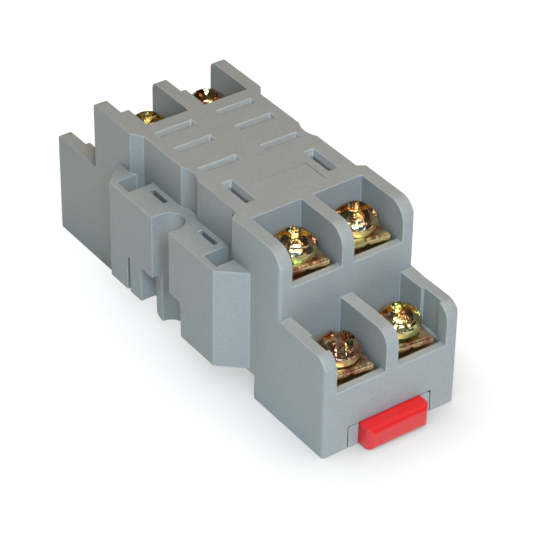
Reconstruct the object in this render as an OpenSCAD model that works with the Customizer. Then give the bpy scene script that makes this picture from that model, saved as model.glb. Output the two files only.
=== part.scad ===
// Screw-terminal socket for a plug-in relay, held on a flanged rail by a sliding clip.
// Width runs along X, length along Y with the clip end at -Y, height along Z.
// The origin is on the underside, midway between the ends and the sides.

/* [Housing] */
// Length of the housing over both ends
body_len = 68; // [66:0.5:76]
// Width of the two end blocks
block_w = 22.9; // [22.4:0.1:25]
// Width of the waist between the end blocks
waist_w = 20.5; // [20:0.1:22]
// Height of the upper bay walls and of the relay seat
body_h = 27.7; // [27:0.1:30]
// Height of the lower bay walls
tier_h = 16.8; // [16:0.1:18]
// Length of the relay seat between the upper bays
seat_len = 27.8; // [27.6:0.1:29]
// Thickness of the side walls of a bay
side_t = 2.1; // [2:0.1:2.4]
// Thickness of the wall between two bays
mid_t = 2.1; // [2:0.1:2.6]
// Thickness of the top plate with the blade slots
top_t = 1.7; // [1.4:0.1:2.2]
// Thickness of the hidden floors and partitions
web_t = 0.9; // [0.7:0.1:1]
// Corner radius of the bay walls at the clip end
near_corner_r = 3; // [1.5:0.1:3.2]
// Corner radius of the bay walls at the other end
far_corner_r = 1.1; // [0.5:0.1:2]
// Radius along the upright edges of the end blocks
edge_r = 0.6; // [0.3:0.1:1]

/* [Bays] */
// Length of a lower terminal bay
low_bay_len = 10.5; // [10.3:0.1:12]
// Height of the sill in front of a lower terminal
low_sill_z = 10.5; // [10.2:0.1:11]
// Height of the sill in front of an upper terminal
high_sill_z = 21.8; // [21.4:0.1:22.2]
// Depth of a sill from its front face to the terminal pocket
sill_t = 1.3; // [1:0.1:1.6]
// Distance of a screw axis behind the front face of its tier
screw_in = 5.3; // [5.3:0.05:5.5]
// Width of the lip along the top of an outer bay wall at the far end
outer_lip = 1.3; // [0.6:0.1:1.4]
// Width of the lip along the top of the middle bay wall at the far end
inner_lip = 0.8; // [0.4:0.1:1]

/* [Rail channel] */
// Width of the channel that takes the rail
rail_w = 35.5; // [35.3:0.1:36]
// Depth of the channel
rail_drop = 4; // [3.8:0.1:4.4]
// Thickness of the rail flange that the hooks grip
flange_t = 1; // [0.9:0.1:1.2]

/* [Ears] */
// Reach of an ear beyond the side of an end block
ear_out = 3.8; // [3:0.1:4.5]
// Length of the flat outer face of an ear
ear_len = 26.5; // [25:0.5:28]
// Height of the top of an ear
ear_h = 20.9; // [19:0.1:22]
// Height of the underside of an ear
ear_low = 4.5; // [4.2:0.1:5.5]
// Radius of the panel-screw notch
notch_r = 2.15; // [1.8:0.05:2.4]
// Distance of the notch axis outside the side of an end block
notch_out = 2.05; // [1.8:0.05:2.6]

/* [Relay contacts] */
// Length of a blade slot across the seat
slot_len = 6.2; // [5.8:0.1:6.4]
// Width of a blade slot across the seat, at its mouth
slot_w = 1.45; // [1.4:0.05:1.6]
// Length of a lengthwise coil slot
coil_len = 5.9; // [5.6:0.1:6.2]
// Width of a lengthwise coil slot, at its mouth
coil_w = 1.7; // [1.4:0.05:1.8]
// Width of the lead-in along each side of a slot
lead_w = 0.42; // [0.3:0.01:0.42]
// Thickness of the relay blades
blade_t = 0.5; // [0.4:0.05:0.8]
// Thickness of the spring brass of a blade contact
leaf_t = 0.4; // [0.3:0.05:0.5]

/* [Terminals] */
// Thickness of the brass terminal strips
strip_t = 0.8; // [0.6:0.1:0.9]
// Height of a sill above the strip behind it
strip_drop = 0.3; // [0.2:0.1:0.6]
// Side of the square clamp plate
plate_w = 7.1; // [6.6:0.1:7.1]
// Thickness of the clamp plate
plate_t = 1.1; // [0.9:0.1:1.2]
// Opening between the strip and the clamp plate
clamp_gap = 0.5; // [0.45:0.05:0.8]
// Outer radius of the screw thread
thread_r = 1.75; // [1.6:0.05:1.9]
// Pitch of the screw thread
thread_pitch = 0.6; // [0.5:0.05:0.7]
// Length of the thread below the clamp plate
thread_len = 4.8; // [4.2:0.1:4.9]
// Radius of the screw head
head_r = 3.2; // [3:0.05:3.3]
// Height of the screw head above its collar
head_h = 2.4; // [1.9:0.1:2.5]
// Height of the collar below the screw head
collar_h = 1.1; // [0.6:0.1:1.2]

/* [Rail clip] */
// Width of the clip
clip_w = 10.6; // [9.8:0.1:11]
// Height of the clip
clip_h = 3.6; // [3.3:0.1:3.7]
// Length of the tab that stands out of the housing
tab_len = 2.5; // [2.2:0.1:4]
// Travel of the clip
clip_travel = 2.4; // [2:0.1:2.6]
// Width of one grey cheek beside the clip
cheek_w = 1.9; // [1.6:0.1:2.4]

/* [Hidden] */
$fn = 48;
eps = 0.02;
run = 0.05;
joint_gap = 0.1;

half_len = body_len / 2;
block_x = block_w / 2;
waist_x = waist_w / 2;
seat_y = seat_len / 2;
tier_y = half_len - low_bay_len;
rail_y = rail_w / 2;

bay_in = mid_t / 2;
bay_out = block_x - side_t;
bay_x = (bay_in + bay_out) / 2;
pocket_low = strip_drop + strip_t;

near_step_y = seat_y - 1.7;
near_slant = 0.8;
far_step_y = seat_y - 0.5;
far_slant = 1.8;

low_corner_r = near_corner_r - 0.6;

lip_len = 5;
low_lip_len = 5.7;
low_lip = 0.7;
lip_h = 0.8;
recess_d = 0.45;
recess_y = [2, 5.8];

skin_t = 1.6;
end_skin_t = 2.2;
ledge_w = 0.3;
cover_x = waist_x - skin_t;
cover_t = 1.2;
cover_top = rail_drop + cover_t;
end_t = 1.2;
core_x = cover_x - ledge_w;
core_y = seat_y - web_t;
low_core_y = half_len - end_skin_t;
floor_t = 1.5;
rib_low = 17.6;
socket_top = body_h - top_t;

slot_in = 2.15;
row_b = 0.212 * seat_len;
row_c = -0.0126 * seat_len;
coil_y = -0.27 * seat_len;
coil_x = 7.05;
lead_d = 0.9;
panel_x = [-4.8, 4.8];
panel_y = [-seat_y + 1.9, coil_y + 0.5];
panel_d = 0.12;

foot_z = 16.5;
foot_over = 0.3;
contact_low = 0.4;
contact_h = socket_top - contact_low - (foot_z + strip_t);
leaf_w = 5;
leaf_out = 1.15;
leaf_slit = 0.7;
leg_gap = 0.15;
row_a = core_y - leaf_out - strip_t - 2 * leg_gap;
last_rib_y = row_c - leaf_out - strip_t - 2 * leg_gap - web_t / 2;
tail_w = 4;
pad_reach = 3.4;
pad_gap = 0.4;

plate_yaw = -6.5;
plate_ease = 0.5;
// Depth each plate is driven, play under each collar and turn of each slot, by end, tier and side
driven = [[[0, 0], [0.1, 0]], [[0, 0], [0.4, 0.15]]];
play = [[[0.2, 0.5], [0, 0.1]], [[0.1, 0], [0, 0]]];
slot_turn = [[[61, -28], [-38, -33]], [[15, -62], [-42, 12]]];
groove_w = 0.6;
shaft_hole_r = thread_r + 0.15;
shaft_room_r = thread_r + 0.6;
thread_root_r = thread_r - 0.3;
tapped_r = thread_r + run;

collar_in = 0.3;
dome_r = 3.45;
driver_slot = [1.2, 2];
cross_slot = [4.2, 0.9, 1.8];
cross_cone = [0.4, 1.5, 1.9];

ear_x = block_x + ear_out;
ear_y = ear_len / 2;
notch_x = block_x + notch_out;
boss_r = 3.55;
scoop_r = 3.84;
lug_x = notch_x;
lug_y = 3.9;
lug_low = 2;
lug_foot_y = -1.2;
lug_step_z = 7.3;
lug_r = 1.2;
window_top = 10.4;
window_y = [-5, 5.2];
tongue_y = 8.2;
slit_w = 0.6;
pocket_y = [ear_y - 3.75, ear_y - 0.65];
pocket_d = 8;
rim_t = 1;
ear_root = 1;
chamfer_y = ear_y + ear_out - 0.4;
window_x = block_x + 1.35;
slot_x = [block_x - 0.5, block_x + 0.25];
slot_y = [4.3, 8.1];
slot_d = 4;
relief_y = [-10.75, -10.4];
relief_d = 0.6;
relief_low = 0.9;

shoulder_w = 1;
shoulder_y = [-30, -28];
shoulder_low = 0.8;
cheek_ease = 0.5;
cheek_gap = 0.15;
tab_side_r = 1.2;
tab_top_r = 1;
tab_low_r = 0.7;
nose_in = 1.2;
arm_slot_x = [1.2, clip_w / 2 - 2.2];
arm_slot_y = [-half_len + 3, -rail_y - 2.5];
hook_reach = 1.4;
hook_x = 6;
hook_root = 0.5;
hook_low = 0.2;
hook_lip = 0.7;
hook_top = rail_drop - flange_t - 0.3;

grey = [0.60, 0.61, 0.60];
cover_grey = [0.56, 0.57, 0.57];
red = [0.86, 0.16, 0.14];
gold = [0.80, 0.64, 0.28];
brass = [0.78, 0.62, 0.30];

ends = ["near", "far"];
tiers = ["low", "high"];
sides = ["left", "right"];
TERMINALS = [for (e = [0, 1]) for (t = [0, 1]) for (s = [0, 1]) [e, t, s]];
function place(k) = str(ends[k[0]], "_", tiers[k[1]], "_", sides[k[2]]);

function end_sign(k) = k[0] == 0 ? -1 : 1;
function side_sign(k) = k[2] == 0 ? -1 : 1;
function sill_z(k) = k[1] == 0 ? low_sill_z : high_sill_z;
function front_y(k) = k[1] == 0 ? half_len : tier_y;
function strip_z(k) = sill_z(k) - pocket_low;
function is_coil(k) = k[0] == 0 && k[1] == 1;
function of_terminal(table, k) = table[k[0]][k[1]][k[2]];
function row_y(k) = k[0] == 0 ? row_c : (k[1] == 0 ? row_b : row_a);

// Box between two corners given as ranges along X, Y and Z
module block(x, y, z) {
    translate([x[0], y[0], z[0]]) cube([x[1] - x[0], y[1] - y[0], z[1] - z[0]]);
}

module both_sides() {
    children();
    mirror([1, 0, 0]) children();
}

module both_ends() {
    children();
    mirror([0, 1, 0]) children();
}

// What a radius takes off an edge along Z, its corner at the origin and its body towards +X +Y
module edge_cut(r, z) {
    difference() {
        block([-1, r], [-1, r], z);
        translate([r, r, z[0] - 1]) cylinder(r = r, h = z[1] - z[0] + 2);
    }
}

// What a radius takes off a top edge along X, its corner at the origin and its body towards +Y
module corner_cut(r) {
    rotate([90, 0, 90]) translate([0, 0, -block_x - 1]) mirror([0, 1, 0])
        edge_cut(r, [0, block_w + 2]);
}

// Outline of the end blocks and the waist seen from above
module body_outline() {
    right = [
        [block_x, -half_len],
        [block_x, -near_step_y],
        [waist_x, -near_step_y + near_slant],
        [waist_x, far_step_y - far_slant],
        [block_x, far_step_y],
        [block_x, half_len]
    ];
    left = [for (i = [len(right) - 1:-1:0]) [-right[i][0], right[i][1]]];
    polygon(concat(right, left));
}

// One ear on the +X side, with its notch, pockets, slots, stepped underside and screw lug
module ear() {
    difference() {
        union() {
            translate([0, 0, ear_low]) linear_extrude(ear_h - ear_low) polygon([
                [waist_x - ear_root, -chamfer_y],
                [block_x, -chamfer_y],
                [ear_x, -ear_y],
                [ear_x, ear_y],
                [block_x, chamfer_y],
                [waist_x - ear_root, chamfer_y]
            ]);
            translate([notch_x, 0, ear_low]) intersection() {
                cylinder(r = boss_r, h = ear_h - ear_low);
                block([-boss_r - 1, 0], [-boss_r, boss_r], [0, ear_h]);
            }
        }
        both_ends() {
            block([waist_x, ear_x - rim_t], pocket_y, [ear_h - pocket_d, ear_h + 1]);
            block(slot_x, slot_y, [ear_h - slot_d, ear_h + 1]);
        }
        block([window_x, ear_x + 1], window_y, [-1, window_top]);
        block([window_x, ear_x + 1], [tongue_y, tongue_y + slit_w], [-1, window_top]);
        notch();
    }
    difference() {
        union() {
            block([waist_x - ear_root, lug_x], [-lug_y, lug_y], [lug_step_z, window_top]);
            block([waist_x - ear_root, lug_x], [lug_foot_y, lug_y], [lug_low, lug_step_z + eps]);
        }
        translate([waist_x - ear_root - 1, lug_y, lug_low]) rotate([90, 0, 90]) mirror([1, 0, 0])
            edge_cut(lug_r, [0, lug_x - waist_x + ear_root + 2]);
        notch();
    }
}

// Panel-screw notch, open to the outer face of an ear
module notch() {
    translate([notch_x, 0, -1]) cylinder(r = notch_r, h = ear_h + 2);
    block([notch_x, ear_x + 1], [-notch_r, notch_r], [-1, ear_h + 1]);
}

// Scoop in the side of the waist above an ear, on the +X side
module waist_scoop() {
    difference() {
        translate([notch_x, 0, ear_h]) cylinder(r = scoop_r, h = body_h);
        block([block_x, block_x + 2 * scoop_r], [-2 * scoop_r, 2 * scoop_r], [0, 2 * body_h]);
    }
}

// Narrow relief in the side of the waist beside its near step, on the +X side
module waist_relief() {
    block([waist_x - relief_d, block_x + 1], relief_y, [ear_h + eps, body_h - relief_low]);
}

// Recess in the outer wall of a near lower bay behind its front jamb, on the +X side
module wall_recess() {
    block([bay_out - eps, bay_out + recess_d], [recess_y[0] - half_len, recess_y[1] - half_len],
        [low_sill_z, tier_h + 1]);
}

// Open space of the two terminal bays on the +X, -Y side
module bay_cuts() {
    block([bay_in, bay_out], [-half_len - 1, -tier_y], [low_sill_z, tier_h + 1]);
    block([bay_in, bay_out], [-half_len + sill_t, -tier_y], [low_sill_z - pocket_low, tier_h]);
    block([bay_in, bay_out], [-tier_y - 1, -seat_y], [high_sill_z, body_h + 1]);
    block([bay_in, bay_out], [-tier_y + sill_t, -seat_y], [high_sill_z - pocket_low, body_h]);
}

// Lip along the top of a wall beside a far bay, from the wall at x and the back at y
module far_lip(x, w, y, reach, top) {
    block([x - 0.2, x + w], [y - 0.2, y + reach], [top - lip_h, top]);
}

// Cross-section of a slot of width w, with its lead-in, seen along its length
module slot_profile(w) {
    polygon([
        [-w / 2 - lead_w, lead_d],
        [w / 2 + lead_w, lead_d],
        [w / 2 - lead_w, -lead_d],
        [w / 2 - lead_w, -lead_d - top_t],
        [-w / 2 + lead_w, -lead_d - top_t],
        [-w / 2 + lead_w, -lead_d]
    ]);
}

// Slot with a mouth of w by l, its middle at the top of the seat and its length along X
module blade_slot(l, w) {
    intersection() {
        translate([-l / 2, 0, 0]) rotate([90, 0, 90]) linear_extrude(l) slot_profile(w);
        translate([0, w, 0]) rotate([90, 0, 0]) linear_extrude(2 * w) slot_profile(l);
    }
}

// Blade slots through the relay seat
module slots() {
    both_sides() {
        for (y = [row_a, row_b, row_c])
            translate([slot_in + slot_len / 2, y, body_h]) blade_slot(slot_len, slot_w);
        translate([coil_x, coil_y, body_h]) rotate([0, 0, 90]) blade_slot(coil_len, coil_w);
    }
    // Shallow sunk panel between the two coil slots
    block(panel_x, panel_y, [body_h - panel_d, body_h + 1]);
}

// Hidden hollow of one side, open to the base cover
module core() {
    difference() {
        union() {
            block([web_t / 2, core_x], [-core_y, core_y], [cover_top, socket_top]);
            both_ends() {
                block([web_t / 2, core_x], [core_y - 1, tier_y - floor_t],
                    [cover_top, high_sill_z - pocket_low - floor_t]);
                block([web_t / 2, core_x], [rail_y, low_core_y],
                    [cover_top, low_sill_z - pocket_low - floor_t]);
            }
        }
        for (y = [(row_a + row_b) / 2, (row_b + row_c) / 2, last_rib_y])
            block([0, block_x], [y - web_t / 2, y + web_t / 2], [rib_low, body_h]);
    }
}

// Slot through the wall and floor of a bay for the tail of its strip and the end of its screw
module terminal_passage(k) {
    z = strip_z(k);
    inner = k[1] == 0 ? tier_y - floor_t - 1 : core_y - 1;
    mirror([side_sign(k) < 0 ? 1 : 0, 0, 0]) mirror([0, end_sign(k) < 0 ? 1 : 0, 0]) {
        block([bay_x - tail_w / 2 - joint_gap, bay_x + tail_w / 2 + joint_gap],
            [inner, front_y(k) - screw_in], [z, z + strip_t + joint_gap]);
        translate([bay_x, front_y(k) - screw_in, z - floor_t - 1])
            cylinder(r = shaft_room_r, h = floor_t + 1.5);
    }
}

module housing() {
    color(grey) difference() {
        union() {
            difference() {
                union() {
                    difference() {
                        linear_extrude(body_h) body_outline();
                        block([-block_x - 1, block_x + 1], [-rail_y, rail_y], [-1, rail_drop]);
                    }
                    both_sides() ear();
                }
                both_ends()
                    block([-block_x - 1, block_x + 1], [-half_len - 1, -tier_y], [tier_h, body_h + 1]);
                both_sides() both_ends() bay_cuts();
                both_sides() {
                    waist_scoop();
                    waist_relief();
                    wall_recess();
                }
            }
            far_lip(-bay_out, outer_lip, seat_y, lip_len, body_h);
            far_lip(bay_in, inner_lip, seat_y, lip_len, body_h);
            far_lip(-bay_out, low_lip, tier_y, low_lip_len, tier_h);
            far_lip(bay_in, low_lip, tier_y, low_lip_len, tier_h);
        }
        translate([0, -tier_y, body_h]) corner_cut(near_corner_r);
        translate([0, -half_len, tier_h]) corner_cut(low_corner_r);
        mirror([0, 1, 0]) {
            translate([0, -tier_y, body_h]) corner_cut(far_corner_r);
            translate([0, -half_len, tier_h]) corner_cut(far_corner_r);
        }
        both_sides() both_ends() {
            translate([-block_x, -half_len, 0]) edge_cut(edge_r, [-1, body_h]);
            translate([-block_x, -tier_y, 0]) edge_cut(edge_r, [tier_h, body_h + 1]);
        }
        slots();
        both_sides() core();
        for (k = TERMINALS) terminal_passage(k);
        cover_space();
    }
}

// Room in the underside of the housing for the base cover
module cover_space() {
    block([-cover_x, cover_x], [-low_core_y, low_core_y], [-1, cover_top]);
    block([-clip_w / 2 - cheek_w, clip_w / 2 + cheek_w], [-half_len - 1, -low_core_y + 1],
        [-1, clip_h + joint_gap]);
}

module base_cover() {
    cx = cover_x - joint_gap;
    cy = low_core_y - joint_gap;
    cheek_x = clip_w / 2 + cheek_w - cheek_gap;
    color(cover_grey) difference() {
        union() {
            block([-cx, cx], [-cy, cy], [0, cover_top]);
            block([-cheek_x, cheek_x], [-half_len, -cy + 1], [0, clip_h]);
        }
        block([-block_x, block_x], [-rail_y, rail_y], [-1, rail_drop]);
        // Hollow of the far end, open to the core
        block([-cx + end_t, cx - end_t], [rail_y + end_t, cy - end_t], [cover_t, cover_top + 1]);
        // Guide of the clip, its shoulder pocket and the mouth into the channel
        block([-clip_w / 2 - run, clip_w / 2 + run], [-half_len - 1, -rail_y + 1], [-1, clip_h + run]);
        block([-clip_w / 2 - shoulder_w - run, clip_w / 2 + shoulder_w + run],
            [shoulder_y[0] - clip_travel - run, shoulder_y[1] + run], [shoulder_low, clip_h + run]);
        both_sides() translate([-cheek_x, -half_len, clip_h]) rotate([0, 45, 0])
            cube([cheek_ease, 2 * end_skin_t, cheek_ease], center = true);
    }
    // Fixed hook under the far rail flange
    color(cover_grey) translate([-hook_x, rail_y, 0]) rotate([90, 0, 90]) linear_extrude(2 * hook_x)
        polygon([
            [hook_root, hook_low],
            [hook_root, hook_top],
            [-hook_reach, hook_top],
            [-hook_reach, hook_top - hook_lip],
            [0, hook_low]
        ]);
}

module rail_clip() {
    x = clip_w / 2;
    tab_y = -half_len - tab_len;
    color(red) difference() {
        union() {
            block([-x, x], [tab_y, shoulder_y[1]], [run, clip_h]);
            block([-x - shoulder_w, x + shoulder_w], shoulder_y, [shoulder_low + run, clip_h]);
            block([-x + nose_in, x - nose_in], [shoulder_y[1] - 1, -rail_y], [run, hook_top]);
            // Nose that snaps under the near rail flange
            translate([-x + nose_in, -rail_y, 0]) rotate([90, 0, 90]) linear_extrude(2 * (x - nose_in))
                polygon([
                    [-1, run],
                    [0, run],
                    [hook_reach, hook_top - hook_lip],
                    [hook_reach, hook_top],
                    [-1, hook_top]
                ]);
        }
        // Rounded front edges of the tab
        translate([-x - 1, tab_y, clip_h]) rotate([90, 0, 90]) mirror([0, 1, 0])
            edge_cut(tab_top_r, [0, clip_w + 2]);
        translate([-x - 1, tab_y, run]) rotate([90, 0, 90]) edge_cut(tab_low_r, [0, clip_w + 2]);
        both_sides() translate([-x, tab_y, 0]) edge_cut(tab_side_r, [-1, clip_h + 1]);
        // Slots that leave the flexing arms
        both_sides() block(arm_slot_x, arm_slot_y, [-1, clip_h + 1]);
    }
}

// Place of a clamp plate over its strip
module at_terminal(k) {
    translate([
        side_sign(k) * bay_x,
        end_sign(k) * (front_y(k) - screw_in),
        sill_z(k) - strip_drop + clamp_gap - of_terminal(driven, k)
    ]) children();
}

// Square plate with eased top edges that the collar presses on
module clamp_plate(k) {
    color(gold) at_terminal(k) rotate([0, 0, plate_yaw]) difference() {
        block([-plate_w / 2, plate_w / 2], [-plate_w / 2, plate_w / 2], [0, plate_t]);
        translate([0, 0, -1]) cylinder(r = shaft_hole_r, h = plate_t + 2);
        for (a = [0:90:270]) rotate([0, 0, a]) translate([-plate_w / 2, 0, plate_t])
            rotate([0, 45, 0]) cube([plate_ease, plate_w + 1, plate_ease], center = true);
        // Groove across the underside that bites the wire
        rotate([0, 45, 0]) cube([groove_w, 2 * plate_w, groove_w], center = true);
    }
}

// Screw with collar, domed head, threaded shank and a combined recess
module terminal_screw(k) {
    turns = floor(thread_len / thread_pitch);
    color(gold) at_terminal(k) translate([0, 0, plate_t + of_terminal(play, k)]) difference() {
        union() {
            cylinder(r = head_r - collar_in, h = collar_h + eps);
            translate([0, 0, collar_h]) intersection() {
                cylinder(r = head_r, h = head_h);
                translate([0, 0, head_h - dome_r]) sphere(r = dome_r);
            }
            translate([0, 0, -plate_t - thread_len])
                cylinder(r = thread_root_r, h = thread_len + plate_t + eps);
            rotate_extrude() polygon(concat(
                [[0, -plate_t - turns * thread_pitch]],
                [for (i = [0:turns - 1]) for (p = [[thread_root_r, 0], [thread_r, 0.5]])
                    [p[0], -plate_t - (turns - i - p[1]) * thread_pitch]],
                [[thread_root_r, -plate_t], [0, -plate_t]]
            ));
        }
        // Slot and cross recess
        translate([0, 0, collar_h + head_h]) rotate([0, 0, of_terminal(slot_turn, k)]) {
            cube([2 * head_r + 1, driver_slot[0], 2 * driver_slot[1]], center = true);
            for (a = [0, 90]) rotate([0, 0, a])
                cube([cross_slot[0], cross_slot[1], 2 * cross_slot[2]], center = true);
            translate([0, 0, -cross_cone[2]])
                cylinder(r1 = cross_cone[0], r2 = cross_cone[1], h = cross_cone[2] + eps);
        }
    }
}

// Strip with its tapped pad in the bay, tail through the wall and foot under the contact
module terminal_strip(k) {
    z = strip_z(k);
    pad = [front_y(k) - screw_in - pad_reach, front_y(k) - sill_t - joint_gap];
    leg_y = is_coil(k) ? core_y - joint_gap
        : end_sign(k) * row_y(k) + leaf_out + leg_gap + strip_t;
    foot_y = is_coil(k) ? -coil_y - coil_len / 2 + foot_over : end_sign(k) * row_y(k) - leaf_out;
    low = min(z, foot_z);
    high = max(z, foot_z) + strip_t;
    foot_x = is_coil(k) ? [coil_x - leaf_out, coil_x + leaf_out]
        : [bay_x - tail_w / 2, bay_x + tail_w / 2];
    color(brass) mirror([side_sign(k) < 0 ? 1 : 0, 0, 0]) mirror([0, end_sign(k) < 0 ? 1 : 0, 0])
        difference() {
            union() {
                block([bay_in + pad_gap, bay_out - pad_gap], pad, [z, z + strip_t]);
                block([bay_x - tail_w / 2, bay_x + tail_w / 2], [leg_y - strip_t, pad[0] + eps],
                    [z, z + strip_t]);
                block(foot_x, [leg_y - strip_t, leg_y], [low, high]);
                block(foot_x, [foot_y, leg_y], [foot_z, foot_z + strip_t]);
            }
            translate([bay_x, front_y(k) - screw_in, z - 1]) cylinder(r = tapped_r, h = strip_t + 2);
        }
}

// One sprung leaf of a blade contact, its blade plane at x = 0
module leaf() {
    bend = blade_t / 2 + eps;
    translate([0, leaf_w / 2, 0]) rotate([90, 0, 0]) linear_extrude(leaf_w) polygon([
        [leaf_out, 0],
        [leaf_out, 0.25 * contact_h],
        [bend + leaf_t, 0.8 * contact_h],
        [0.95 * leaf_out, contact_h],
        [0.95 * leaf_out - leaf_t, contact_h],
        [bend, 0.8 * contact_h],
        [leaf_out - leaf_t, 0.25 * contact_h],
        [leaf_out - leaf_t, 0]
    ]);
}

// Female contact with two slotted leaves on a closed base
module blade_contact(k) {
    along = is_coil(k);
    x = side_sign(k) * (along ? coil_x : slot_in + slot_len / 2);
    color(brass) translate([x, along ? coil_y : row_y(k), foot_z + strip_t]) rotate([0, 0, along ? 0 : 90])
        difference() {
            union() {
                both_sides() leaf();
                block([-leaf_out, leaf_out], [-leaf_w / 2, leaf_w / 2], [0, leaf_t]);
            }
            block([-leaf_out - 1, leaf_out + 1], [-leaf_slit / 2, leaf_slit / 2],
                [0.3 * contact_h, contact_h + 1]);
        }
}

housing();
base_cover();
rail_clip();
for (k = TERMINALS) terminal_screw(k);
for (k = TERMINALS) clamp_plate(k);
for (k = TERMINALS) terminal_strip(k);
for (k = TERMINALS) blade_contact(k);
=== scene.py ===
import math
import bmesh
import bpy
from mathutils import Matrix, Vector


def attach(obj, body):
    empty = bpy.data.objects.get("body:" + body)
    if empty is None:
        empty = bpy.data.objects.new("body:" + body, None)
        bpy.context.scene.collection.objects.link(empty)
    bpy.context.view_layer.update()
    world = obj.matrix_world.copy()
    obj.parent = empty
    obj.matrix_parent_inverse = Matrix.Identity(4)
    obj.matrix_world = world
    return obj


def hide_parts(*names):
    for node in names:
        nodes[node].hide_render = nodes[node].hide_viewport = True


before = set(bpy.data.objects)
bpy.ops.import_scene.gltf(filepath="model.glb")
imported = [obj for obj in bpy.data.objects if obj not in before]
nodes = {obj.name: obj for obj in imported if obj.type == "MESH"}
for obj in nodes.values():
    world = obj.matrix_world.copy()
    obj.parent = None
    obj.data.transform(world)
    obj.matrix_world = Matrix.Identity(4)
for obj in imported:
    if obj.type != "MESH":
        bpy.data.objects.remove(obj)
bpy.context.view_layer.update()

mm = 0.001
terminals = [(end, tier, side) for end in ("near", "far") for tier in ("low", "high")
             for side in ("left", "right")]


# Short ways to write node trees

def addNode(tree, kind, **values):
    node = tree.nodes.new(kind)
    for key, value in values.items():
        setattr(node, key, value)
    return node


def link(tree, a, b):
    tree.links.new(a, b)


def feed(tree, socket, value):
    if isinstance(value, (int, float)):
        socket.default_value = value
    elif isinstance(value, tuple):
        # A colour of three values gets an alpha of 1
        socket.default_value = value if len(value) == len(socket.default_value) else (*value, 1)
    else:
        link(tree, value, socket)


def setInput(node, name, value):
    node.inputs[name].default_value = value


def setRamp(ramp, stops):
    elements = ramp.color_ramp.elements
    while len(elements) < len(stops):
        elements.new(0.5)
    for element, (place, colour) in zip(elements, stops):
        element.position = place
        element.color = (*colour, 1) if isinstance(colour, tuple) else (colour, colour, colour, 1)


def mathNode(tree, operation, a, b, clamp=False):
    node = addNode(tree, "ShaderNodeMath", operation=operation, use_clamp=clamp)
    feed(tree, node.inputs[0], a)
    feed(tree, node.inputs[1], b)
    return node.outputs[0]


def plus(tree, a, b, clamp=False):
    return mathNode(tree, "ADD", a, b, clamp)


def minus(tree, a, b):
    return mathNode(tree, "SUBTRACT", a, b)


def times(tree, a, b, clamp=False):
    return mathNode(tree, "MULTIPLY", a, b, clamp)


def vectorNode(tree, operation, a, b=None, scale=None):
    node = addNode(tree, "ShaderNodeVectorMath", operation=operation)
    feed(tree, node.inputs[0], a)
    if b is not None:
        feed(tree, node.inputs[1], b)
    if scale is not None:
        feed(tree, node.inputs["Scale"], scale)
    return node.outputs["Value" if operation == "LENGTH" else "Vector"]


def mixColour(tree, mode, factor, a, b):
    node = addNode(tree, "ShaderNodeMix", data_type="RGBA", blend_type=mode)
    for place, value in ((0, factor), (6, a), (7, b)):  # sockets 6 and 7 are the two colours
        feed(tree, node.inputs[place], value)
    return node.outputs[2]


def noise(tree, coords, scale, detail, roughness):
    node = addNode(tree, "ShaderNodeTexNoise")
    link(tree, coords, node.inputs["Vector"])
    feed(tree, node.inputs["Scale"], scale)
    setInput(node, "Detail", detail)
    setInput(node, "Roughness", roughness)
    return node.outputs["Fac"]


def objectCoords(tree):
    return addNode(tree, "ShaderNodeTexCoord").outputs["Object"]


# Camera, room, lamps and floor, in metres and degrees, with the lens and sensor in millimetres.
# Azimuth 0 looks along +Y, and elevation is above the floor

cameraSetup = {
    "azimuth": -35.34, "elevation": 34.87, "roll": 0.52, "distance": 0.353, "target": (0, 0, 0.0136),
    "lens": 164.1, "sensor": 36, "shift": (0.0364, -0.0657), "seesFrom": 0.01, "seesTo": 50,
}
# Brightness of the room from the horizon at 0 to straight up at 1
roomSetup = {"stops": [(0.0, 0.04), (0.35, 0.02), (0.60, 0.016), (0.80, 0.04), (0.92, 0.09), (1.0, 0.12)]}
lampSetup = {
    "topLamp": {"azimuth": 60, "elevation": 68, "distance": 0.75, "size": (0.5, 0.5), "power": 2.77,
                "colour": (1.0, 0.856, 0.595), "mirrored": False},
    "nearLamp": {"azimuth": -35, "elevation": 45, "distance": 0.45, "size": (0.22, 0.2), "power": 1.40,
                 "colour": (0.841, 1.0, 0.884), "mirrored": True},
    "highLamp": {"azimuth": -5, "elevation": 60, "distance": 0.6, "size": (0.3, 0.3), "power": 0.86,
                 "colour": (1.0, 0.606, 0.30), "mirrored": True},
    "coolLamp": {"azimuth": -22, "elevation": 40, "distance": 0.27, "size": (0.12, 0.12), "power": 0.472,
                 "colour": (0.164, 0.538, 1.0), "mirrored": True},
}
# lift and contactShadow hold an azimuth, the value at the middle and its growth per metre that way
floorSetup = {
    "reach": 12, "drop": 0.05 * mm, "roughness": 0.9, "specular": 0.1,
    "colour": (0.90, 0.90, 0.90), "seenColour": (0.20, 0.185, 0.183),
    "lift": (-35.34, 0.845, -1.0), "contactShadow": (37, 0.36, 13.0), "contactReach": 12 * mm,
}


def direction(azimuth, elevation):
    a, e = math.radians(azimuth), math.radians(elevation)
    return Vector((math.sin(a) * math.cos(e), -math.cos(a) * math.cos(e), math.sin(e)))


def makeCamera(s):
    data = bpy.data.cameras.new("camera")
    cam = bpy.data.objects.new("camera", data)
    bpy.context.scene.collection.objects.link(cam)
    back = direction(s["azimuth"], s["elevation"])
    cam.location = Vector(s["target"]) + back * s["distance"]
    turn = (-back).to_track_quat("-Z", "Y").to_matrix().to_4x4()
    turn = turn @ Matrix.Rotation(math.radians(s["roll"]), 4, "Z")
    cam.rotation_mode = "QUATERNION"
    cam.rotation_quaternion = turn.to_quaternion()
    data.lens, data.sensor_width = s["lens"], s["sensor"]
    data.shift_x, data.shift_y = s["shift"]
    data.clip_start, data.clip_end = s["seesFrom"], s["seesTo"]
    bpy.context.scene.camera = cam


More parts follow.
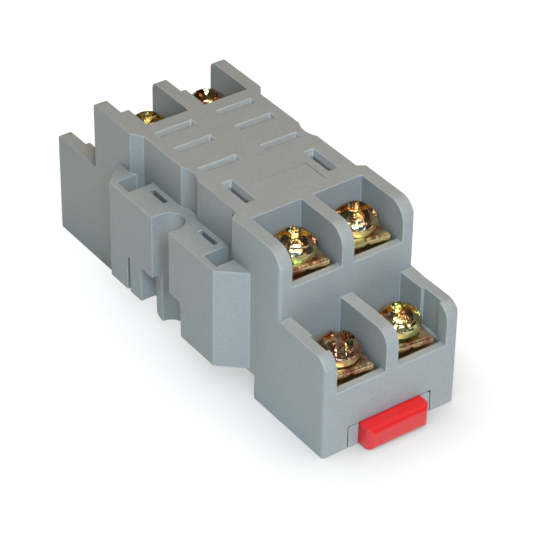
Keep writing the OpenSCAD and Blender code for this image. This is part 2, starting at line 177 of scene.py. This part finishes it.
def makeRoom(s):
    world = bpy.data.worlds.new("studio")
    bpy.context.scene.world = world
    world.use_nodes = True
    tree = world.node_tree
    tree.nodes.clear()
    split = addNode(tree, "ShaderNodeSeparateXYZ")
    ramp = addNode(tree, "ShaderNodeValToRGB")
    room = addNode(tree, "ShaderNodeBackground")
    white = addNode(tree, "ShaderNodeBackground")
    mix = addNode(tree, "ShaderNodeMixShader")
    link(tree, addNode(tree, "ShaderNodeTexCoord").outputs["Generated"], split.inputs[0])
    link(tree, split.outputs["Z"], ramp.inputs[0])
    setRamp(ramp, s["stops"])
    link(tree, ramp.outputs["Color"], room.inputs["Color"])
    setInput(white, "Color", (1, 1, 1, 1))
    link(tree, addNode(tree, "ShaderNodeLightPath").outputs["Is Camera Ray"], mix.inputs[0])
    link(tree, room.outputs[0], mix.inputs[1])
    link(tree, white.outputs[0], mix.inputs[2])
    link(tree, mix.outputs[0], addNode(tree, "ShaderNodeOutputWorld").inputs[0])


def makeLamp(name, s):
    data = bpy.data.lights.new(name, "AREA")
    data.shape, data.size, data.size_y = "RECTANGLE", s["size"][0], s["size"][1]
    data.energy, data.color = s["power"], s["colour"]
    lamp = bpy.data.objects.new(name, data)
    bpy.context.scene.collection.objects.link(lamp)
    out = direction(s["azimuth"], s["elevation"])
    lamp.location = out * s["distance"]
    lamp.rotation_mode = "QUATERNION"
    lamp.rotation_quaternion = (-out).to_track_quat("-Z", "Y")
    lamp.visible_glossy = s["mirrored"]
    lamp.visible_camera = False


def makePaper(s):
    paper = bpy.data.materials.new("whitePaper")
    paper.use_nodes = True
    tree = paper.node_tree
    shader = tree.nodes["Principled BSDF"]
    seenByCamera = addNode(tree, "ShaderNodeLightPath").outputs["Is Camera Ray"]
    split = addNode(tree, "ShaderNodeSeparateXYZ")
    link(tree, addNode(tree, "ShaderNodeNewGeometry").outputs["Position"], split.inputs[0])

    def toward(azimuth, atMiddle, perMetre):
        to = direction(azimuth, 0)
        way = plus(tree, times(tree, split.outputs["X"], to.x), times(tree, split.outputs["Y"], to.y))
        return plus(tree, times(tree, way, perMetre), atMiddle, True)

    # Painted contact shadow: ambient occlusion darkens the paper and its lift near the object, more
    # strongly toward the contactShadow azimuth
    contact = addNode(tree, "ShaderNodeAmbientOcclusion", samples=8)
    setInput(contact, "Distance", s["contactReach"])
    covered = minus(tree, 1.0, contact.outputs["AO"])
    openness = minus(tree, 1.0, times(tree, covered, toward(*s["contactShadow"])))
    # Only the camera sees the darker paper and the lift that brings it to white, so the shadow stays
    seen = vectorNode(tree, "SCALE", s["seenColour"], scale=openness)
    link(tree, mixColour(tree, "MIX", seenByCamera, s["colour"], seen), shader.inputs["Base Color"])
    lift = times(tree, toward(*s["lift"]), openness)
    link(tree, times(tree, seenByCamera, lift), shader.inputs["Emission Strength"])
    setInput(shader, "Emission Color", (1, 1, 1, 1))
    setInput(shader, "Roughness", s["roughness"])
    setInput(shader, "Specular IOR Level", s["specular"])
    return paper


def makeFloor(s):
    r = s["reach"]
    mesh = bpy.data.meshes.new("floor")
    mesh.from_pydata([(-r, -r, 0), (r, -r, 0), (r, r, 0), (-r, r, 0)], [], [(0, 1, 2, 3)])
    floor = bpy.data.objects.new("floor", mesh)
    bpy.context.scene.collection.objects.link(floor)
    floor.location.z = -s["drop"]
    mesh.materials.append(makePaper(s))


bpy.context.scene.view_settings.view_transform = "Standard"
makeCamera(cameraSetup)
makeRoom(roomSetup)
makeFloor(floorSetup)
for lampName, lampValues in lampSetup.items():
    makeLamp(lampName, lampValues)
print("camera, lamps and floor made")


# Effects shared by the materials. Noise scales are in waves per metre

def newGroup(name, inputs, outputs):
    group = bpy.data.node_groups.new(name, "ShaderNodeTree")
    for socketName, value in inputs.items():
        socket = group.interface.new_socket(socketName, in_out="INPUT", socket_type="NodeSocketFloat")
        socket.default_value = value
    for socketName in outputs:
        group.interface.new_socket(socketName, in_out="OUTPUT", socket_type="NodeSocketFloat")
    inside, out = addNode(group, "NodeGroupInput"), addNode(group, "NodeGroupOutput")
    return group, inside.outputs, out.inputs


noiseMiddle = 0.5


def aroundZero(tree, value):
    return minus(tree, value, noiseMiddle)


def makeMouldGrain():
    glossChange, fineShare, pebbleShare = 0.16, 0.4, 0.6
    group, inside, out = newGroup("mouldGrain", {"Grain": 0.1, "Size": 2600.0, "Mottle": 0.06},
                                  ["Shade", "Height", "Gloss"])
    coords = objectCoords(group)
    fine = noise(group, coords, scale=inside["Size"], detail=2.0, roughness=0.6)
    pebble = noise(group, coords, scale=900.0, detail=2.0, roughness=0.5)
    cloud = noise(group, coords, scale=110.0, detail=3.0, roughness=0.55)
    fineShade = times(group, aroundZero(group, fine), inside["Grain"])
    cloudShade = times(group, aroundZero(group, cloud), inside["Mottle"])
    link(group, plus(group, plus(group, fineShade, cloudShade), 1.0), out["Shade"])
    height = plus(group, times(group, fine, fineShare), times(group, pebble, pebbleShare))
    link(group, height, out["Height"])
    link(group, times(group, aroundZero(group, cloud), glossChange), out["Gloss"])
    return group


# Painted highlight: a mask of the bevel faces, broken into patches, that lightens the colour along the
# rounded edges
def makeEdgeLight():
    leastHighlight = 0.3
    group, inside, out = newGroup("edgeLight", {"Amount": 0.1}, ["Mask"])
    edges = addNode(group, "ShaderNodeAttribute", attribute_name="edgeMask").outputs["Fac"]
    patches = noise(group, objectCoords(group), scale=420.0, detail=3.0, roughness=0.6)
    mask = times(group, edges, plus(group, patches, leastHighlight))
    link(group, times(group, mask, inside["Amount"], True), out["Mask"])
    return group


def makeDust():
    speckStart, speckSlope, upPower = 0.42, 3.0, 2.0
    group, inside, out = newGroup("dust", {"Amount": 0.05}, ["Mask"])
    split = addNode(group, "ShaderNodeSeparateXYZ")
    link(group, addNode(group, "ShaderNodeNewGeometry").outputs["Normal"], split.inputs[0])
    specks = noise(group, objectCoords(group), scale=700.0, detail=4.0, roughness=0.7)
    facesUp = mathNode(group, "POWER", mathNode(group, "MAXIMUM", split.outputs["Z"], 0.0), upPower)
    grains = times(group, minus(group, specks, speckStart), speckSlope, True)
    link(group, times(group, times(group, facesUp, grains), inside["Amount"]), out["Mask"])
    return group


def makeScratches():
    smudgeShare = 0.35
    # Turn and stretch of each sweep of lines
    sweeps = (((0.2, 0.1, 0.4), (3200, 260, 900)), ((0.2, 0.1, 1.7), (2600, 200, 800)))
    group, inside, out = newGroup("scratches", {"Amount": 0.3, "Dents": 0.2}, ["Height", "Rough"])
    coords = objectCoords(group)
    sweepLines = []
    for turn, stretch in sweeps:
        place = addNode(group, "ShaderNodeMapping")
        link(group, coords, place.inputs["Vector"])
        setInput(place, "Rotation", turn)
        setInput(place, "Scale", stretch)
        sweepLines.append(noise(group, place.outputs["Vector"], scale=1.0, detail=2.0, roughness=0.6))
    dents = noise(group, coords, scale=1050.0, detail=1.5, roughness=0.4)
    height = plus(group, times(group, plus(group, *sweepLines), inside["Amount"]),
                  times(group, dents, inside["Dents"]))
    link(group, height, out["Height"])
    smudge = noise(group, coords, scale=380.0, detail=3.0, roughness=0.55)
    link(group, times(group, smudge, times(group, inside["Amount"], smudgeShare)), out["Rough"])
    return group


def makePlatingTone():
    filmContrast, shiftStep = 1.5, 0.22
    group, inside, out = newGroup("platingTone", {"Shift": 0.0, "Size": 620.0}, ["Tone"])
    film = noise(group, objectCoords(group), scale=inside["Size"], detail=1.5, roughness=0.45)
    tone = plus(group, times(group, aroundZero(group, film), filmContrast), noiseMiddle)
    link(group, plus(group, tone, times(group, inside["Shift"], shiftStep)), out["Tone"])
    return group


mouldGrain, edgeLight, dust = makeMouldGrain(), makeEdgeLight(), makeDust()
scratches, platingTone = makeScratches(), makePlatingTone()
print("shared effects made")


# Materials

def useGroup(tree, group, **values):
    node = addNode(tree, "ShaderNodeGroup", node_tree=group)
    for key, value in values.items():
        setInput(node, key, value)
    return node.outputs


def newMaterial(name):
    material = bpy.data.materials.new(name)
    material.use_nodes = True
    return material, material.node_tree, material.node_tree.nodes["Principled BSDF"]


def addBump(tree, shader, height, strength, distance):
    bump = addNode(tree, "ShaderNodeBump")
    setInput(bump, "Strength", strength)
    setInput(bump, "Distance", distance)
    link(tree, height, bump.inputs["Height"])
    link(tree, bump.outputs["Normal"], shader.inputs["Normal"])


def plastic(name, s):
    dustColour, gapShadeColour, gapShadeSlope = (0.62, 0.61, 0.58), (0.02, 0.02, 0.022), 2.2
    material, tree, shader = newMaterial(name)
    grain = useGroup(tree, mouldGrain, Grain=s["grain"])
    shade = addNode(tree, "ShaderNodeCombineColor")
    for channel in ("Red", "Green", "Blue"):
        link(tree, grain["Shade"], shade.inputs[channel])
    colour = mixColour(tree, "MULTIPLY", 1.0, s["colour"], shade.outputs[0])
    # Painted highlight along the bevelled edges
    edges = useGroup(tree, edgeLight, Amount=s["edgeLight"])["Mask"]
    colour = mixColour(tree, "MIX", edges, colour, s["edgeHighlightColour"])
    settled = useGroup(tree, dust, Amount=s["dust"])["Mask"]
    colour = mixColour(tree, "MIX", settled, colour, dustColour)
    # Painted shade: ambient occlusion darkens the colour toward near black in narrow gaps, slots and inner
    # corners
    gap = addNode(tree, "ShaderNodeAmbientOcclusion", samples=6)
    setInput(gap, "Distance", s["gapReach"])
    paintedGapShade = times(tree, minus(tree, s["gapStart"], gap.outputs["AO"]), gapShadeSlope, True)
    colour = mixColour(tree, "MIX", times(tree, paintedGapShade, s["gapShade"]), colour, gapShadeColour)
    link(tree, colour, shader.inputs["Base Color"])
    link(tree, plus(tree, grain["Gloss"], s["roughness"]), shader.inputs["Roughness"])
    setInput(shader, "IOR", 1.5)
    addBump(tree, shader, grain["Height"], strength=0.25, distance=0.06 * mm)
    return material


# Turned rings of a screw head, by the distance from its axis
def headRings(tree, s, centre):
    fromAxis = vectorNode(tree, "SUBTRACT", objectCoords(tree), centre)
    radius = vectorNode(tree, "LENGTH", vectorNode(tree, "MULTIPLY", fromAxis, (1, 1, 0)))
    rings = addNode(tree, "ShaderNodeValToRGB")
    setRamp(rings, s["rings"])
    link(tree, times(tree, radius, 1 / s["ringSpan"]), rings.inputs[0])
    return times(tree, rings.outputs["Color"], s["ringDepth"])


# Film of the yellow passivation, from copper over gold to green
filmStops = [(0.0, (0.26, 0.08, 0.06)), (0.2, (0.46, 0.21, 0.13)), (0.4, (0.60, 0.40, 0.22)),
             (0.58, (0.66, 0.52, 0.25)), (0.78, (0.56, 0.54, 0.22)), (1.0, (0.30, 0.38, 0.17))]


def plating(name, s, shift, centre=None):
    facingBlend, paintedSheenShift, collarShift, collarDullness = 0.35, -0.25, 0.35, 0.22
    material, tree, shader = newMaterial(name)
    # Painted sheen of the film: Layer Weight's Facing shifts the tone toward copper where the surface turns
    # away from the view
    facing = addNode(tree, "ShaderNodeLayerWeight")
    setInput(facing, "Blend", facingBlend)
    tone = plus(tree, useGroup(tree, platingTone, Shift=shift)["Tone"],
                times(tree, facing.outputs["Facing"], paintedSheenShift))
    collar = addNode(tree, "ShaderNodeAttribute", attribute_name="collar").outputs["Fac"]
    tone = plus(tree, tone, times(tree, collar, collarShift))
    ramp = addNode(tree, "ShaderNodeValToRGB")
    setRamp(ramp, filmStops)
    link(tree, tone, ramp.inputs[0])
    tinted = vectorNode(tree, "SCALE", ramp.outputs["Color"], scale=s["lightness"])
    link(tree, tinted, shader.inputs["Base Color"])
    setInput(shader, "Metallic", 1.0)
    lines = useGroup(tree, scratches, Amount=s["scratches"], Dents=s["dents"])
    rough = plus(tree, lines["Rough"], s["roughness"])
    link(tree, plus(tree, rough, times(tree, collar, collarDullness)), shader.inputs["Roughness"])
    height = plus(tree, lines["Height"], headRings(tree, s, centre)) if centre else lines["Height"]
    addBump(tree, shader, height, strength=0.8, distance=0.1 * mm)
    return material


def brass(name, s):
    dullShare, spotStart, spotSlope = 0.55, 0.4, 1.4
    material, tree, shader = newMaterial(name)
    spots = noise(tree, objectCoords(tree), scale=500.0, detail=3.0, roughness=0.6)
    dull = tuple(dullShare * c for c in s["colour"])
    spotted = times(tree, minus(tree, spots, spotStart), spotSlope, True)
    link(tree, mixColour(tree, "MIX", spotted, s["colour"], dull), shader.inputs["Base Color"])
    setInput(shader, "Metallic", 1.0)
    lines = useGroup(tree, scratches, Amount=s["scratches"])
    link(tree, plus(tree, lines["Rough"], s["roughness"]), shader.inputs["Roughness"])
    addBump(tree, shader, lines["Height"], strength=0.15, distance=0.04 * mm)
    return material


# Pieces: each takes the exact solid of its node and gets the moulded or struck edges of the real one.
# Angles in degrees: faces are joined below flatWithin, bevelled from sharpFrom, creased from creaseFrom
roundingSetup = {
    "mergeWithin": 0.002 * mm, "flatWithin": 0.4, "sharpFrom": 28, "creaseFrom": 24, "faceWeight": 80,
}


def roundedCopy(nodeName, pieceName, s, material, body, keepOut=None):
    r = roundingSetup
    sharpFrom, creaseFrom = math.radians(r["sharpFrom"]), math.radians(r["creaseFrom"])
    mesh = bpy.data.meshes.new(pieceName)
    bm = bmesh.new()
    bm.from_mesh(nodes[nodeName].data)
    bmesh.ops.remove_doubles(bm, verts=bm.verts[:], dist=r["mergeWithin"])
    bmesh.ops.dissolve_limit(bm, angle_limit=math.radians(r["flatWithin"]), verts=bm.verts[:],
                             edges=bm.edges[:], use_dissolve_boundaries=False)
    edgeMask = bm.faces.layers.float.new("edgeMask")
    sharp = []
    for edge in bm.edges:
        if len(edge.link_faces) != 2 or edge.calc_face_angle(0) < sharpFrom:
            continue
        if not (keepOut and keepOut((edge.verts[0].co + edge.verts[1].co) / 2)):
            sharp.append(edge)
    made = bmesh.ops.bevel(bm, geom=sharp, offset=s["bevel"], offset_type="OFFSET", segments=s["segments"],
                           profile=0.5, affect="EDGES", clamp_overlap=False, loop_slide=True,
                           miter_outer="SHARP", miter_inner="SHARP")
    for face in made["faces"]:
        face[edgeMask] = 1.0
    for face in bm.faces:
        face.smooth = True
    if "collar" in s:  # a band between two depths below the top of the head
        collar = bm.faces.layers.float.new("collar")
        top = max(v.co.z for v in bm.verts)
        for face in bm.faces:
            if s["collar"][0] < top - face.calc_center_median().z < s["collar"][1]:
                face[collar] = 1.0
    for edge in bm.edges:
        if len(edge.link_faces) == 2 and edge.calc_face_angle(0) > creaseFrom:
            edge.smooth = False
    bm.to_mesh(mesh)
    bm.free()
    piece = bpy.data.objects.new(pieceName, mesh)
    bpy.context.scene.collection.objects.link(piece)
    mesh.materials.append(material)
    weigh = piece.modifiers.new("flatFacesStayFlat", "WEIGHTED_NORMAL")
    weigh.mode, weigh.weight, weigh.keep_sharp = "FACE_AREA", r["faceWeight"], True
    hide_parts(nodeName)
    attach(piece, body)


housingSetup = {
    "bevel": 0.13 * mm, "segments": 2, "colour": (0.279, 0.260, 0.251), "edgeHighlightColour": (0.50, 0.51, 0.51),
    "roughness": 0.46, "grain": 0.32, "edgeLight": 0.28, "dust": 0.05,
    "gapReach": 1.6 * mm, "gapStart": 0.50, "gapShade": 0.75,
}
# The shallow step of the sunk panel between the lengthwise slots keeps its sharp edges
sunkPanel = {"from": 27.5 * mm, "halfWidth": 5.3 * mm, "near": -12.6 * mm, "far": -6.4 * mm}


def onSunkPanel(p):
    s = sunkPanel
    return p.z > s["from"] and abs(p.x) < s["halfWidth"] and s["near"] < p.y < s["far"]


roundedCopy("housing", "housingShell", housingSetup, plastic("greyPlastic", housingSetup), "housing",
            keepOut=onSunkPanel)

coverSetup = {
    "bevel": 0.08 * mm, "segments": 2, "colour": (0.300, 0.279, 0.277), "edgeHighlightColour": (0.50, 0.51, 0.51),
    "roughness": 0.46, "grain": 0.32, "edgeLight": 0.12, "dust": 0.03,
    "gapReach": 1.0 * mm, "gapStart": 0.5, "gapShade": 0.7,
}
roundedCopy("base_cover", "baseCoverShell", coverSetup, plastic("coverPlastic", coverSetup), "housing")

clipSetup = {
    "bevel": 0.05 * mm, "segments": 3, "colour": (0.585, 0.009, 0.011), "edgeHighlightColour": (0.85, 0.16, 0.15),
    "roughness": 0.34, "grain": 0.05, "edgeLight": 0.06, "dust": 0.02,
    "gapReach": 0.8 * mm, "gapStart": 0.4, "gapShade": 0.5,
}
roundedCopy("rail_clip", "railClipShell", clipSetup, plastic("redPlastic", clipSetup), "clip")
print("mouldings made")

# Rings stand at shares of ringSpan from the axis: a flat crown, a step, a groove and a bead at the rim
screwSetup = {
    "bevel": 0.05 * mm, "segments": 2, "collar": (2.42 * mm, 3.48 * mm), "roughness": 0.17,
    "scratches": 0.3, "dents": 3.7, "lightness": 1.12, "ringDepth": 2.4, "ringSpan": 4 * mm,
    "rings": [(0.0, 1.0), (0.42, 1.0), (0.50, 0.72), (0.62, 0.72), (0.67, 0.25), (0.72, 0.65), (0.80, 0.5)],
}
plateSetup = {
    "bevel": 0.09 * mm, "segments": 2, "roughness": 0.20, "scratches": 0.4, "dents": 0.6, "lightness": 1.4,
}
stripSetup = {"colour": (0.62, 0.43, 0.16), "roughness": 0.3, "scratches": 0.3}
contactSetup = {"colour": (0.66, 0.48, 0.2), "roughness": 0.26, "scratches": 0.2}

# Shift of the film's colour on each screw and plate: toward green above 0, toward copper below
platingShift = {
    ("near", "low", "left"): (-0.45, -0.75), ("near", "low", "right"): (0.35, -0.35),
    ("near", "high", "left"): (0.15, -0.45), ("near", "high", "right"): (-0.2, 0.1),
    ("far", "low", "left"): (0.3, -0.1), ("far", "low", "right"): (-0.3, 0.2),
    ("far", "high", "left"): (0.7, 0.3), ("far", "high", "right"): (-0.6, -0.3),
}


def middleOf(nodeName):
    axes = zip(*(v.co for v in nodes[nodeName].data.vertices))
    return tuple((min(axis) + max(axis)) / 2 for axis in axes)


stripBrass, contactBrass = brass("stripBrass", stripSetup), brass("contactBrass", contactSetup)
for end, tier, side in terminals:
    place = "_".join((end, tier, side))
    tag = end + tier.capitalize() + side.capitalize()
    screwShift, plateShift = platingShift[end, tier, side]
    screwFinish = plating("screwPlating" + tag, screwSetup, screwShift, middleOf("screw_" + place))
    roundedCopy("screw_" + place, "screw" + tag, screwSetup, screwFinish, "screw_" + place)
    plateFinish = plating("platePlating" + tag, plateSetup, plateShift)
    roundedCopy("plate_" + place, "clampPlate" + tag, plateSetup, plateFinish, "clamp_" + place)
    for prefix, finish in (("strip_", stripBrass), ("contact_", contactBrass)):
        mesh = nodes[prefix + place].data
        mesh.materials.clear()
        mesh.materials.append(finish)
print("terminals made")
